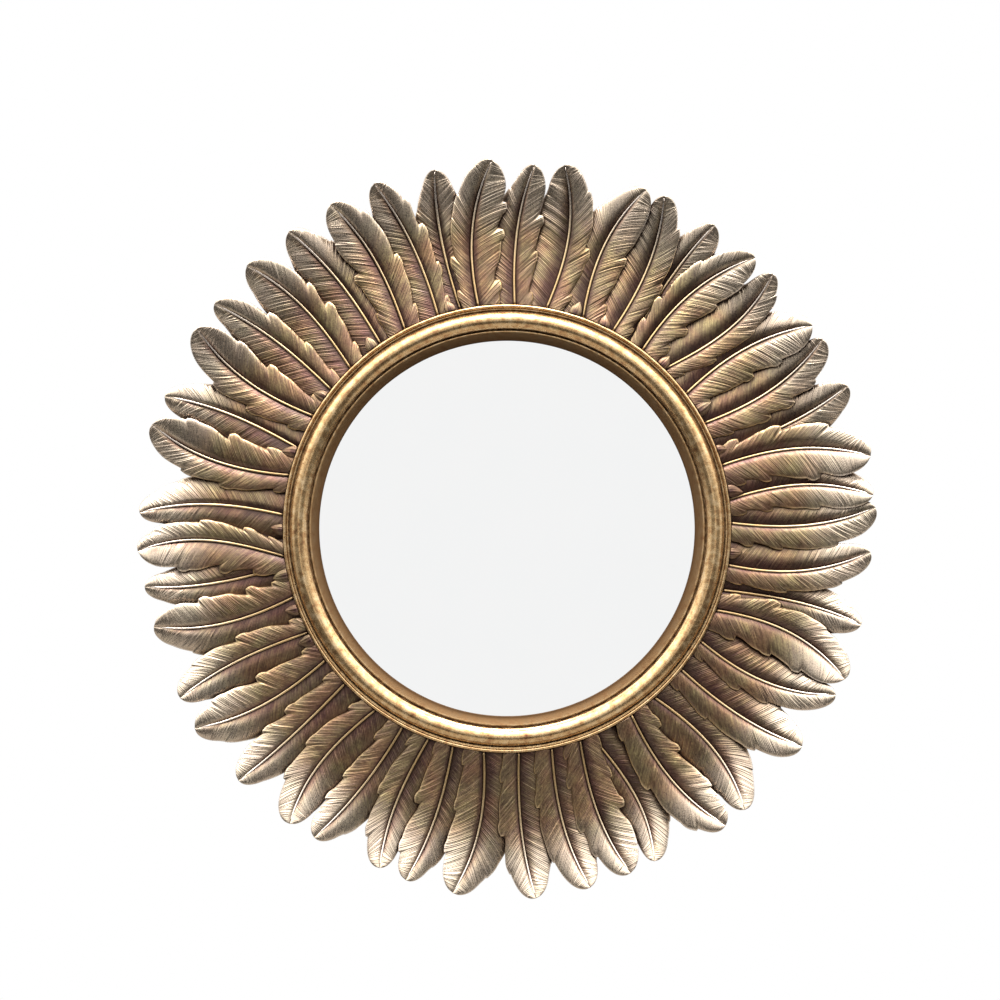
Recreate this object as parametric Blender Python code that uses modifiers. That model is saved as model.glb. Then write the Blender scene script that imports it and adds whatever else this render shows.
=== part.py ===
"""Round wall mirror in a wreath of cast feathers, in metres, +Z up.

The wall is the plane y = 0 and the mirror faces -Y. The origin is on the mirror's axis, in the
back face of the backing board. Heights above the wall run along -Y, and angles run clockwise
from the top as seen from the front.
"""

from math import cos, pi, radians, sin

import bmesh
import bpy
from mathutils import Matrix, Vector

MM = 0.001

# Clearance between pieces that touch
GAP = 0.3 * MM

# Backing board, which stops short of the ring moulding's lip
BOARD_INSET = 11.4 * MM
BOARD_THICKNESS = 12 * MM
BOARD_CHAMFER = 1.5 * MM

# Mirror glass, which runs on behind the ring moulding
GLASS_LAP = 8 * MM
GLASS_THICKNESS = 4 * MM

# Ring moulding, a turned profile from its sight edge out to its lip
SIGHT_RADIUS = 230 * MM
SIGHT_EDGE_HEIGHT = 3.6 * MM
COVE_WIDTH = 9 * MM
COVE_RISE = 7 * MM
COVE_MIDDLE = 0.6
INNER_FILLET_WIDTH = 2.6 * MM
QUIRK_DEPTH = 2.2 * MM
QUIRK_WIDTH = 2.2 * MM
BEAD_RADIUS = 10.6 * MM
BEAD_CENTRE_RISE = 11.6 * MM
BEAD_UNDERCUT = radians(14)
OUTER_FILLET_WIDTH = 2.4 * MM
OUTER_FILLET_RISE = 10.4 * MM
LIP_RADIUS = 2.2 * MM
LIP_RISE = 12.0 * MM
RING_SEGMENTS = 60
BEAD_STEPS = 6
LIP_STEPS = 3

# Bed that carries the feathers, a flat flange under the ring moulding
BED_INNER_CLEARANCE = 1 * MM
BED_THICKNESS = 4.8 * MM
BED_OVERHANG = 26 * MM
RING_SEAT_DEPTH = 0.8 * MM

# Feathers: their outline, the dish they make from ring to tip, and a vane's section
FEATHER_LENGTH = 173.8 * MM
FEATHER_MIDDLE = 0.46
ROOT_WIDTH_SHARE = 0.72
BROADEST_AT = 0.58
TIP_FALL_POWER = 2.5
TIP_ROUNDNESS = 0.6
TIP_END_SHARE = 0.1
ROOT_RISE = 12.7 * MM
DISH_FALL = 20 * MM
DISH_RISE = 32 * MM
DISH_POWER = 3
ROOT_DEPTH = 9.4 * MM
TIP_DEPTH = 4 * MM
FULL_VANE_WIDTH = 27 * MM
VANE_CREST = 1.8 * MM
EDGE_DROOP = 1.6 * MM
EDGE_THICKNESS = 2 * MM
SHINGLE_SLOPE = 0.075
BACK_SLOPE = 0.03
LAYER_LIFT = {"B": -3 * MM, "F": 0, "T": 2.5 * MM}
BACK_LIFT_SHARE = 0.6
TUCKED_WIDTH = 6 * MM
TUCK_FADES_FROM = 0.45
TUCK_FADES_BY = 0.85
FEATHER_STATIONS = (-0.03, 0.25, 0.5, 0.7, 0.86, 0.96, 1.0)
HEADING_STEP = 0.01
VALLEY = 2

# Where the feathers lie, clockwise from the top. Each is the shaft's angle at the ring, at its
# middle and at its tip in degrees, how much it is shorter than the full length in mm, the
# half-widths of the anticlockwise and the clockwise vane in mm, and its layer: B lies under both
# neighbours, F under the one before it and over the one after, T over both.
FEATHERS = (
    (2.0, 1.8, 4.4, 4, 20, 28, "F"),
    (10.2, 12.0, 9.0, 0, 32, 28, "F"),
    (19.8, 18.8, 22.4, 2, 26, 32, "F"),
    (28.2, 28.5, 25.3, 0, 25, 26, "F"),
    (33.6, 33.1, 34.4, 0, 22, 29, "B"),
    (37.2, 37.7, 42.5, 1, 26, 32, "F"),
    (44.6, 48.0, 46.2, 0, 26, 23, "F"),
    (53.0, 52.7, 56.4, 2, 27, 35, "F"),
    (61.9, 62.5, 59.0, 0, 22, 29, "F"),
    (70.0, 69.8, 67.3, -2, 27, 27, "B"),
    (73.6, 74.2, 78.7, -3, 30, 37, "F"),
    (82.5, 81.4, 84.8, 1, 24, 29, "F"),
    (88.6, 89.5, 86.7, -1, 24, 30, "F"),
    (99.4, 98.6, 93.7, 5, 27, 26, "F"),
    (106.0, 104.3, 105.2, 1, 21, 27, "B"),
    (111.4, 110.0, 114.0, -2, 29, 37, "F"),
    (120.2, 121.0, 116.8, 0, 24, 24, "F"),
    (129.0, 129.0, 126.4, 2, 32, 29, "F"),
    (138.9, 136.8, 139.8, 0, 27, 28, "F"),
    (146.3, 147.0, 143.6, 0, 32, 31, "T"),
    (158.0, 154.5, 156.1, 5, 26, 22, "B"),
    (161.0, 162.4, 160.2, 3, 33, 28, "F"),
    (168.5, 169.4, 166.9, 0, 29, 28, "F"),
    (177.0, 177.4, 175.5, -3, 30, 26, "F"),
    (186.0, 185.1, 188.5, 0, 31, 35, "F"),
    (194.0, 193.8, 196.1, 3, 24, 30, "F"),
    (200.5, 202.0, 200.6, 7, 24, 26, "F"),
    (207.8, 209.0, 212.0, 5, 26, 27, "F"),
    (216.0, 218.5, 216.4, 2, 29, 29, "F"),
    (226.3, 226.0, 226.8, 0, 24, 29, "F"),
    (234.1, 233.9, 237.4, -3, 28, 34, "F"),
    (242.4, 243.8, 242.6, 0, 26, 27, "F"),
    (252.2, 251.3, 254.5, 2, 28, 35, "F"),
    (260.5, 259.4, 260.9, 1, 22, 24, "B"),
    (262.9, 267.5, 266.5, -2, 37, 24, "F"),
    (273.5, 274.7, 272.5, 0, 25, 26, "B"),
    (283.8, 282.9, 286.4, -2, 28, 37, "F"),
    (291.0, 292.4, 291.1, 1, 27, 24, "B"),
    (300.2, 299.4, 302.9, -1, 30, 33, "F"),
    (308.3, 309.1, 307.5, -1, 24, 24, "F"),
    (315.7, 317.4, 315.3, -2, 32, 28, "F"),
    (325.6, 325.9, 323.7, -1, 31, 24, "B"),
    (332.9, 333.9, 331.4, -1, 32, 28, "F"),
    (342.1, 341.7, 338.9, -2, 27, 23, "F"),
    (348.0, 347.2, 348.6, 2, 21, 28, "B"),
    (352.7, 353.0, 357.7, -1, 27, 37, "F"),
)

# Two keyhole plates in the back of the board
HANGER_SPACING = 300 * MM
HANGER_HEIGHT = 120 * MM
PLATE_WIDTH = 22 * MM
PLATE_LENGTH = 62 * MM
PLATE_THICKNESS = 1.5 * MM
PLATE_SINK = 2.1 * MM
KEYHOLE_ENTRY_RADIUS = 5 * MM
KEYHOLE_SLOT_WIDTH = 5 * MM
KEYHOLE_SLOT_RUN = 14 * MM
KEYHOLE_ENTRY_DROP = 7 * MM
POCKET_WIDTH = 16 * MM
POCKET_LENGTH = 36 * MM
POCKET_DEPTH = 6 * MM
SCREW_HOLE_RADIUS = 1.8 * MM
SCREW_HOLE_INSET = 7 * MM
CUT_OVERRUN = 1.5 * MM
KEYHOLE_SIDES = 16
SCREW_HOLE_SIDES = 12

# Heights above the wall that follow from the sizes
GLASS_BACK = BOARD_THICKNESS + GAP
GLASS_FRONT = GLASS_BACK + GLASS_THICKNESS
BED_BACK = BOARD_THICKNESS + GAP
BED_FRONT = BED_BACK + BED_THICKNESS
RING_SEAT = BED_FRONT - RING_SEAT_DEPTH
RING_BACK = max(GLASS_FRONT, RING_SEAT) + GAP
FEATHER_ROOT_HEIGHT = BED_BACK + ROOT_RISE
CLEARANCE_TOP = BED_BACK + 3 * ROOT_RISE

# Radii that follow from the sizes
INNER_QUIRK_RADIUS = SIGHT_RADIUS + COVE_WIDTH + INNER_FILLET_WIDTH
BEAD_CENTRE_RADIUS = INNER_QUIRK_RADIUS + QUIRK_WIDTH + BEAD_RADIUS * cos(BEAD_UNDERCUT)
OUTER_QUIRK_RADIUS = BEAD_CENTRE_RADIUS + BEAD_RADIUS * cos(BEAD_UNDERCUT)
LIP_CENTRE_RADIUS = OUTER_QUIRK_RADIUS + QUIRK_WIDTH + OUTER_FILLET_WIDTH + LIP_RADIUS
RING_OUTER_RADIUS = LIP_CENTRE_RADIUS + LIP_RADIUS
GLASS_RADIUS = SIGHT_RADIUS + GLASS_LAP
BOARD_RADIUS = RING_OUTER_RADIUS - BOARD_INSET
BED_INNER_RADIUS = GLASS_RADIUS + BED_INNER_CLEARANCE
BED_OUTER_RADIUS = RING_OUTER_RADIUS + BED_OVERHANG

for old in list(bpy.data.objects):
    bpy.data.objects.remove(old, do_unlink=True)

parts = bpy.data.collections.new("feather_wall_mirror")
cutters = bpy.data.collections.new("cutters")
feather_solids = bpy.data.collections.new("feather_solids")
for collection in (parts, cutters, feather_solids):
    bpy.context.scene.collection.children.link(collection)


def material(name, colour, roughness, metallic):
    """A plain Principled material with its colour in linear RGB."""
    made = bpy.data.materials.new(name)
    made.use_nodes = True
    surface = made.node_tree.nodes["Principled BSDF"]
    surface.inputs["Base Color"].default_value = (*colour, 1.0)
    surface.inputs["Roughness"].default_value = roughness
    surface.inputs["Metallic"].default_value = metallic
    return made


def add_object(name, mesh, collection, surface=None):
    """Puts a mesh in the scene. One without a surface is a cutter or a guide."""
    made = bpy.data.objects.new(name, mesh)
    collection.objects.link(made)
    if surface:
        mesh.materials.append(surface)
    else:
        made.hide_render = True
        made.display_type = "WIRE"
    return made


def mesh_from(name, shape):
    """Turns a bmesh into a mesh with its faces pointing out."""
    bmesh.ops.recalc_face_normals(shape, faces=shape.faces)
    mesh = bpy.data.meshes.new(name)
    shape.to_mesh(mesh)
    shape.free()
    return mesh


def turned(name, profile, collection, surface=None):
    """A closed profile of (radius, height above the wall) turned about the mirror's axis."""
    shape = bmesh.new()
    points = [shape.verts.new((radius, 0, height)) for radius, height in profile]
    for start, end in zip(points, points[1:] + points[:1]):
        if start.co.x > 0 or end.co.x > 0:
            shape.edges.new((start, end))
    mesh = bpy.data.meshes.new(name)
    shape.to_mesh(mesh)
    shape.free()
    made = add_object(name, mesh, collection, surface)
    screw = made.modifiers.new("Turn", "SCREW")
    screw.axis = "Z"
    screw.steps = RING_SEGMENTS
    screw.render_steps = RING_SEGMENTS
    screw.use_merge_vertices = True
    screw.merge_threshold = 0.00001
    made.rotation_euler.x = pi / 2
    return made


def cut(target, cutter):
    """Takes the cutter's shape out of the target."""
    boolean = target.modifiers.new("Cut " + cutter.name, "BOOLEAN")
    boolean.operation = "DIFFERENCE"
    boolean.solver = "EXACT"
    boolean.object = cutter


def block(name, centre, size, collection, surface=None):
    """A box given by its centre and its size in world axes."""
    shape = bmesh.new()
    place = Matrix.Translation(centre) @ Matrix.Diagonal((*size, 1))
    bmesh.ops.create_cube(shape, size=1, matrix=place)
    return add_object(name, mesh_from(name, shape), collection, surface)


def rod(name, centre, radius, length, collection, sides=KEYHOLE_SIDES):
    """A cylinder along Y given by its centre."""
    shape = bmesh.new()
    place = Matrix.Translation(centre) @ Matrix.Rotation(pi / 2, 4, "X")
    bmesh.ops.create_cone(
        shape, cap_ends=True, segments=sides, radius1=radius, radius2=radius, depth=length, matrix=place
    )
    return add_object(name, mesh_from(name, shape), collection)


def arc(radius, height, size, start, end, steps):
    """Points of (radius, height) round a centre, from one angle to another, both ends kept."""
    turn = [start + (end - start) * step / steps for step in range(steps + 1)]
    return [(radius + size * cos(angle), height + size * sin(angle)) for angle in turn]


def ring_profile():
    """The moulding's outline, from the sight edge over the front and down the lip's outer side."""
    lip = arc(LIP_CENTRE_RADIUS, RING_BACK + LIP_RISE, LIP_RADIUS, 0, pi, LIP_STEPS)
    fillet_height = RING_BACK + OUTER_FILLET_RISE
    bead_foot = fillet_height - QUIRK_DEPTH
    outer_fillet = [
        (LIP_CENTRE_RADIUS - LIP_RADIUS, fillet_height),
        (OUTER_QUIRK_RADIUS + QUIRK_WIDTH, fillet_height),
        (OUTER_QUIRK_RADIUS + QUIRK_WIDTH / 2, bead_foot),
    ]
    bead = arc(
        BEAD_CENTRE_RADIUS,
        RING_BACK + BEAD_CENTRE_RISE,
        BEAD_RADIUS,
        -BEAD_UNDERCUT,
        pi + BEAD_UNDERCUT,
        BEAD_STEPS,
    )
    cove_top = RING_BACK + SIGHT_EDGE_HEIGHT + COVE_RISE
    inner_fillet = [
        (INNER_QUIRK_RADIUS + QUIRK_WIDTH / 2, cove_top - QUIRK_DEPTH),
        (INNER_QUIRK_RADIUS, cove_top),
        (SIGHT_RADIUS + COVE_WIDTH, cove_top),
    ]
    cove = [
        (SIGHT_RADIUS + COVE_WIDTH * share, RING_BACK + SIGHT_EDGE_HEIGHT + COVE_RISE * share**2)
        for share in (COVE_MIDDLE, 0)
    ]
    foot = [(SIGHT_RADIUS, RING_BACK), (RING_OUTER_RADIUS, RING_BACK)]
    outline = lip + outer_fillet + bead + inner_fillet + cove + foot
    return outline[::-1]


def shaft_angle(root, middle, tip, along):
    """The shaft's angle a share of the way from root to tip, on a smooth bow through all three."""
    from_root = (along - FEATHER_MIDDLE) * (along - 1) / FEATHER_MIDDLE
    from_middle = along * (along - 1) / (FEATHER_MIDDLE * (FEATHER_MIDDLE - 1))
    from_tip = along * (along - FEATHER_MIDDLE) / (1 - FEATHER_MIDDLE)
    return root * from_root + middle * from_middle + tip * from_tip


def vane_share(along):
    """How wide a vane is a share of the way along, as a share of its full width."""
    widening = sin(pi / 2 * min(max(along, 0) / BROADEST_AT, 1))
    width = ROOT_WIDTH_SHARE + (1 - ROOT_WIDTH_SHARE) * widening
    past = max(along - BROADEST_AT, 0) / (1 - BROADEST_AT)
    return max(width * (1 - past**TIP_FALL_POWER) ** TIP_ROUNDNESS, TIP_END_SHARE)


def tucked(along):
    """The extra width of a vane that runs on under its neighbour, none near the tip."""
    fade = (TUCK_FADES_BY - along) / (TUCK_FADES_BY - TUCK_FADES_FROM)
    return TUCKED_WIDTH * min(max(fade, 0), 1)


def on_wall(angle, radius):
    """The point (x, z) at an angle clockwise from the top."""
    return Vector((radius * sin(angle), radius * cos(angle)))


def feather(number, root, middle, tip, short, left, right, layer):
    """One feather as a closed loft. Each vane is a pillow, and the two meet in a valley."""
    length = FEATHER_LENGTH - short * MM
    lift = LAYER_LIFT[layer]
    shape = bmesh.new()
    rings = []

    def centre(along):
        angle = radians(shaft_angle(root, middle, tip, along))
        return on_wall(angle, RING_OUTER_RADIUS + length * along)

    for along in FEATHER_STATIONS:
        here = centre(along)
        heading = (centre(along + HEADING_STEP) - centre(along - HEADING_STEP)).normalized()
        clockwise = Vector((heading.y, -heading.x))
        wide_left = left * MM * vane_share(along) + tucked(along)
        wide_right = right * MM * vane_share(along) + (tucked(along) if layer == "B" else 0)
        share = max(along, 0)
        front = FEATHER_ROOT_HEIGHT - DISH_FALL * share + DISH_RISE * share**DISH_POWER
        back = front - (ROOT_DEPTH + (TIP_DEPTH - ROOT_DEPTH) * share) + lift * BACK_LIFT_SHARE
        front += lift
        pillow = min(1, wide_right / FULL_VANE_WIDTH)
        crest = VANE_CREST * pillow
        droop = EDGE_DROOP * pillow
        low_edge = front - droop - SHINGLE_SLOPE * wide_left
        high_edge = front - droop + SHINGLE_SLOPE * wide_right
        section = (
            (-wide_left, low_edge),
            (-wide_left / 2, front + crest - SHINGLE_SLOPE * wide_left / 2),
            (0, front),
            (wide_right / 2, front + crest + SHINGLE_SLOPE * wide_right / 2),
            (wide_right, high_edge),
            (wide_right, min(back + BACK_SLOPE * wide_right, high_edge - EDGE_THICKNESS)),
            (-wide_left, min(back - BACK_SLOPE * wide_left, low_edge - EDGE_THICKNESS)),
        )
        ring = []
        for aside, height in section:
            spot = here + clockwise * aside
            ring.append(shape.verts.new((spot.x, -height, spot.y)))
        rings.append(ring)
    for inner, outer in zip(rings, rings[1:]):
        for side in range(len(inner)):
            after = (side + 1) % len(inner)
            shape.faces.new((inner[side], inner[after], outer[after], outer[side]))
    for end in (rings[0], rings[-1]):
        turned_end = end[VALLEY + 1 :] + end[:VALLEY]
        for near, far in zip(turned_end, turned_end[1:]):
            shape.faces.new((end[VALLEY], near, far))
    bmesh.ops.triangulate(shape, faces=[face for face in shape.faces if len(face.verts) > 3])
    name = f"feather_{number:02d}"
    return add_object(name, mesh_from(name, shape), feather_solids)


resin = material("bronzed resin", (0.24, 0.18, 0.11), 0.42, 0.55)
gilt = material("antique gold", (0.50, 0.32, 0.14), 0.34, 0.75)
silvered = material("silvered glass", (0.88, 0.89, 0.90), 0.02, 1.0)
fibreboard = material("black fibreboard", (0.03, 0.028, 0.026), 0.8, 0.0)
zinc = material("zinc plated steel", (0.55, 0.56, 0.58), 0.35, 1.0)

# Ring moulding
ring_moulding = turned("ring_moulding", ring_profile(), parts, gilt)

# Mirror glass, held between the board and the ring moulding
glass_profile = [
    (0, GLASS_FRONT),
    (GLASS_RADIUS, GLASS_FRONT),
    (GLASS_RADIUS, GLASS_BACK),
    (0, GLASS_BACK),
]
mirror_glass = turned("mirror_glass", glass_profile, parts, silvered)

# Wreath: a bed with every feather joined on, cleared for the ring moulding
bed_profile = [
    (BED_OUTER_RADIUS, BED_FRONT),
    (BED_OUTER_RADIUS, BED_BACK),
    (BED_INNER_RADIUS, BED_BACK),
    (BED_INNER_RADIUS, BED_FRONT),
]
wreath = turned("feather_wreath", bed_profile, parts, resin)
for number, row in enumerate(FEATHERS, start=1):
    feather(number, *row)
union = wreath.modifiers.new("Join feathers", "BOOLEAN")
union.operation = "UNION"
union.solver = "EXACT"
union.operand_type = "COLLECTION"
union.collection = feather_solids
clearance_profile = [
    (RING_OUTER_RADIUS + GAP, CLEARANCE_TOP),
    (RING_OUTER_RADIUS + GAP, RING_SEAT),
    (0, RING_SEAT),
    (0, CLEARANCE_TOP),
]
cut(wreath, turned("ring_clearance", clearance_profile, cutters))

# Backing board with a chamfered back edge
board_profile = [
    (0, BOARD_THICKNESS),
    (BOARD_RADIUS, BOARD_THICKNESS),
    (BOARD_RADIUS, BOARD_CHAMFER),
    (BOARD_RADIUS - BOARD_CHAMFER, 0),
    (0, 0),
]
board = turned("backing_board", board_profile, parts, fibreboard)

# Keyhole plates, sunk in recesses, each over a pocket for the head of a wall screw
plate_front = PLATE_SINK + PLATE_THICKNESS
recess_front = plate_front + GAP
plate_middle = -(PLATE_SINK + PLATE_THICKNESS / 2)
for side_name, side in (("left", -1), ("right", 1)):
    across = side * HANGER_SPACING / 2
    plate = block(
        "keyhole_plate_" + side_name,
        (across, plate_middle, HANGER_HEIGHT),
        (PLATE_WIDTH, PLATE_THICKNESS, PLATE_LENGTH),
        parts,
        zinc,
    )
    entry_height = HANGER_HEIGHT - KEYHOLE_ENTRY_DROP
    slot_top = entry_height + KEYHOLE_SLOT_RUN
    through = PLATE_THICKNESS + 2 * CUT_OVERRUN
    entry = (across, plate_middle, entry_height)
    cut(plate, rod("entry_" + side_name, entry, KEYHOLE_ENTRY_RADIUS, through, cutters))
    slot = block(
        "slot_" + side_name,
        (across, plate_middle, (entry_height + slot_top) / 2),
        (KEYHOLE_SLOT_WIDTH, through, slot_top - entry_height),
        cutters,
    )
    cut(plate, slot)
    slot_end = (across, plate_middle, slot_top)
    cut(plate, rod("slot_end_" + side_name, slot_end, KEYHOLE_SLOT_WIDTH / 2, through, cutters))
    for end in (-1, 1):
        screw_height = HANGER_HEIGHT + end * (PLATE_LENGTH / 2 - SCREW_HOLE_INSET)
        name = f"screw_hole_{side_name}_{'top' if end > 0 else 'foot'}"
        spot = (across, plate_middle, screw_height)
        cut(plate, rod(name, spot, SCREW_HOLE_RADIUS, through, cutters, SCREW_HOLE_SIDES))
    recess = block(
        "recess_" + side_name,
        (across, 0, HANGER_HEIGHT),
        (PLATE_WIDTH + 2 * GAP, 2 * recess_front, PLATE_LENGTH + 2 * GAP),
        cutters,
    )
    cut(board, recess)
    pocket = block(
        "pocket_" + side_name,
        (across, 0, HANGER_HEIGHT),
        (POCKET_WIDTH, 2 * (recess_front + POCKET_DEPTH), POCKET_LENGTH),
        cutters,
    )
    cut(board, pocket)
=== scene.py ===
"""The round mirror in its feather wreath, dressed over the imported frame, in metres, front to -Y."""

import random
from math import cos, pi, radians, sin

import bmesh
import bpy
from mathutils import Matrix, Vector


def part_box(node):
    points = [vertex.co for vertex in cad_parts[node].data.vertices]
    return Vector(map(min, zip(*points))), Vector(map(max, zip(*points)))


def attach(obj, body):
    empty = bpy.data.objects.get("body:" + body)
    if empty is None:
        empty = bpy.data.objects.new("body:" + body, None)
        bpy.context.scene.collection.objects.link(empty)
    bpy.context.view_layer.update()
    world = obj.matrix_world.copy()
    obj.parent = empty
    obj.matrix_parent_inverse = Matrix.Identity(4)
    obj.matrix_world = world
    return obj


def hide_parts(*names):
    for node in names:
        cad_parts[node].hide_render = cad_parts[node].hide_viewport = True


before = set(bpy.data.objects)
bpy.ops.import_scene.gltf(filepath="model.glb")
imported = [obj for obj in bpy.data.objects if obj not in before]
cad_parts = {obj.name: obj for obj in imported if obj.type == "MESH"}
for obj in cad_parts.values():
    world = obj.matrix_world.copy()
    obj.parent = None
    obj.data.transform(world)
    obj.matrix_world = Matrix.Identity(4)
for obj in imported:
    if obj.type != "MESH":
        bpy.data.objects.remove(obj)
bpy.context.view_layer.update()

# Backing board
# A disc of fibreboard 12 mm thick that everything else is fixed to. It is sawn round, recessed for
# the hanging plates and brushed matt black, so nothing shows past the ring's edge.
MM = 0.001


def linear(code):
    """The linear RGBA of an sRGB hex colour."""
    shares = [int(code[at : at + 2], 16) / 255 for at in (0, 2, 4)]
    return (*[c / 12.92 if c < 0.0405 else ((c + 0.055) / 1.055) ** 2.4 for c in shares], 1.0)


def add(material, kind, inputs=None, stops=None, **settings):
    """Adds a node with its settings. An input is a value, or the output that it is linked from."""
    made = material.node_tree.nodes.new(kind)
    for name, value in settings.items():
        setattr(made, name, value)
    for name, value in (inputs or {}).items():
        if isinstance(value, bpy.types.NodeSocket):
            material.node_tree.links.new(value, made.inputs[name])
        else:
            made.inputs[name].default_value = value
    if stops:
        ramp = made.color_ramp.elements
        while len(ramp) < len(stops):
            ramp.new(1.0)
        for element, (place, code) in zip(ramp, stops):
            element.position = place
            element.color = linear(code)
    return made


def new_material(name):
    """An empty node material with its output, and the shader that the section goes on to fill."""
    made = bpy.data.materials.new(name)
    made.use_nodes = True
    return made, made.node_tree.nodes["Principled BSDF"]


def dress(node, material):
    """Gives a node of the frame a material in place of its plain one."""
    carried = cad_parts[node]
    for slot in carried.material_slots:
        slot.material = material
    return carried


# Brushed matt black paint on fibreboard: it shows faint brush drag, and the fibre where it is thin.
BRUSH_DRAG = 3 * MM
board_paint, surface = new_material("matt_black_paint_on_fibreboard")
place = add(board_paint, "ShaderNodeTexCoord").outputs["Object"]
drag = add(
    board_paint,
    "ShaderNodeMapping",
    {"Vector": place, "Scale": (1 / (12 * BRUSH_DRAG), 1 / BRUSH_DRAG, 1 / BRUSH_DRAG)},
)
strokes = add(
    board_paint,
    "ShaderNodeTexNoise",
    {"Vector": drag.outputs[0], "Scale": 1.0, "Detail": 3.0, "Roughness": 0.6},
)
tint = add(
    board_paint,
    "ShaderNodeValToRGB",
    {"Fac": strokes.outputs["Fac"]},
    stops=((0.3, "151312"), (0.62, "1f1c1a"), (0.8, "352b22")),
)
gloss = add(
    board_paint,
    "ShaderNodeMapRange",
    {"Value": strokes.outputs["Fac"], "To Min": 0.62, "To Max": 0.85},
)
relief = add(
    board_paint,
    "ShaderNodeBump",
    {"Height": strokes.outputs["Fac"], "Strength": 0.35, "Distance": 0.15 * MM},
)
links = board_paint.node_tree.links
links.new(tint.outputs["Color"], surface.inputs["Base Color"])
links.new(gloss.outputs[0], surface.inputs["Roughness"])
links.new(relief.outputs[0], surface.inputs["Normal"])
dress("backing_board", board_paint)

# Hanging plates and their screws
# Two keyhole plates stamped from 1.5 mm steel and zinc plated, let into the back of the board over
# a pocket for the wall screw's head. Each is held by two small cross-head screws.
SCREW_HEAD_RADIUS = 2.9 * MM
SCREW_HEAD_RISE = 1.5 * MM
SCREW_FACE_SHARE = 0.9
SCREW_CROSS = 3.4 * MM
SCREW_CROSS_WIDTH = 0.7 * MM
SCREW_CROSS_DEPTH = 0.9 * MM
SCREW_SHANK_RADIUS = 1.5 * MM
SCREW_SHANK = 9 * MM
SCREW_POINT = 2 * MM
SCREW_INSET = 7 * MM
SCREW_SIDES = 40
DOME_STEPS = 6
DOME_FOOT_SHARE = 0.35

# Bright zinc on stamped steel: a cool grey with the faint spangle and dull patches of the bath.
SPANGLE = 2.5 * MM
zinc, surface = new_material("bright_zinc_on_steel")
place = add(zinc, "ShaderNodeTexCoord").outputs["Object"]
spangle = add(zinc, "ShaderNodeTexVoronoi", {"Vector": place, "Scale": 1 / SPANGLE})
clouds = add(
    zinc, "ShaderNodeTexNoise", {"Vector": place, "Scale": 1 / (4 * SPANGLE), "Detail": 4.0}
)
patch = add(
    zinc,
    "ShaderNodeMath",
    {0: spangle.outputs["Distance"], 1: clouds.outputs["Fac"]},
    operation="MULTIPLY",
)
tint = add(
    zinc,
    "ShaderNodeValToRGB",
    {"Fac": patch.outputs[0]},
    stops=((0.05, "a9adb2"), (0.3, "c6c8cb"), (0.6, "b4ab93")),
)
gloss = add(zinc, "ShaderNodeMapRange", {"Value": patch.outputs[0], "To Min": 0.26, "To Max": 0.48})
surface.inputs["Metallic"].default_value = 1.0
links = zinc.node_tree.links
links.new(tint.outputs["Color"], surface.inputs["Base Color"])
links.new(gloss.outputs[0], surface.inputs["Roughness"])


def add_piece(name, mesh, material, slot, *nodes):
    """Puts a finished mesh in the scene as a piece of the mirror, in place of the nodes named."""
    made = bpy.data.objects.new(name, mesh)
    bpy.context.scene.collection.objects.link(made)
    mesh.materials.append(material)
    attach(made, "root")
    if nodes:
        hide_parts(*nodes)
    return made


def mesh_of(shape, name, rounded=True):
    """Turns a finished shape into a mesh, smooth unless it is all flats."""
    mesh = bpy.data.meshes.new(name)
    shape.to_mesh(mesh)
    shape.free()
    if rounded:
        mesh.shade_smooth()
    return mesh


def turned_shape(profile, steps):
    """A closed outline of (radius, height above the wall) turned about the mirror's axis."""
    shape = bmesh.new()
    turns = [2 * pi * step / steps for step in range(steps)]
    rows = []
    for radius, height in profile:
        if radius == 0:
            rows.append([shape.verts.new((0, -height, 0))] * steps)
            continue
        rows.append([shape.verts.new((radius * sin(t), -height, radius * cos(t))) for t in turns])
    for near, far in zip(rows, rows[1:] + rows[:1]):
        for step in range(steps):
            after = (step + 1) % steps
            corners = []
            for vertex in (near[step], near[after], far[after], far[step]):
                if vertex not in corners:
                    corners.append(vertex)
            if len(corners) > 2:
                shape.faces.new(corners)
    bmesh.ops.recalc_face_normals(shape, faces=shape.faces)
    return shape


def screw_mesh(name):
    """A pan-head screw with a sunk cross. Its head's foot is at the origin and it faces +Y."""
    dome = [
        (
            SCREW_HEAD_RADIUS * cos(t),
            -SCREW_HEAD_RISE * (DOME_FOOT_SHARE + (1 - DOME_FOOT_SHARE) * sin(t)),
        )
        for t in [pi / 2 * step / DOME_STEPS for step in range(DOME_STEPS)]
    ]
    head = [(0, -SCREW_HEAD_RISE), *dome[::-1], (SCREW_HEAD_RADIUS, 0), (SCREW_SHANK_RADIUS, 0)]
    tip = [(SCREW_SHANK_RADIUS, SCREW_SHANK - SCREW_POINT), (0, SCREW_SHANK)]
    shape = turned_shape(head + tip, SCREW_SIDES)
    for vertex in shape.verts:
        x, height, z = vertex.co
        near, far = sorted((abs(x), abs(z)))
        in_cross = near < SCREW_CROSS_WIDTH and far < SCREW_CROSS / 2
        if in_cross and height > SCREW_FACE_SHARE * SCREW_HEAD_RISE:
            vertex.co.y -= SCREW_CROSS_DEPTH
    return mesh_of(shape, name)


for side in ("left", "right"):
    plate = "keyhole_plate_" + side
    dress(plate, zinc)
    low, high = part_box(plate)
    middle = (low + high) / 2
    for end, height in (("foot", low.z + SCREW_INSET), ("top", high.z - SCREW_INSET)):
        name = f"plate_screw_{side}_{end}"
        mesh = screw_mesh(name)
        mesh.transform(Matrix.Translation((middle.x, high.y, height)))
        add_piece(name, mesh, zinc, "zinc_plated_steel")

# Mirror glass
# A disc of 4 mm float glass silvered on its back, laid in the ring from behind and held down by
# the board. From the front it is one clean reflection with no bevel.
HAZE = 60 * MM

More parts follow.
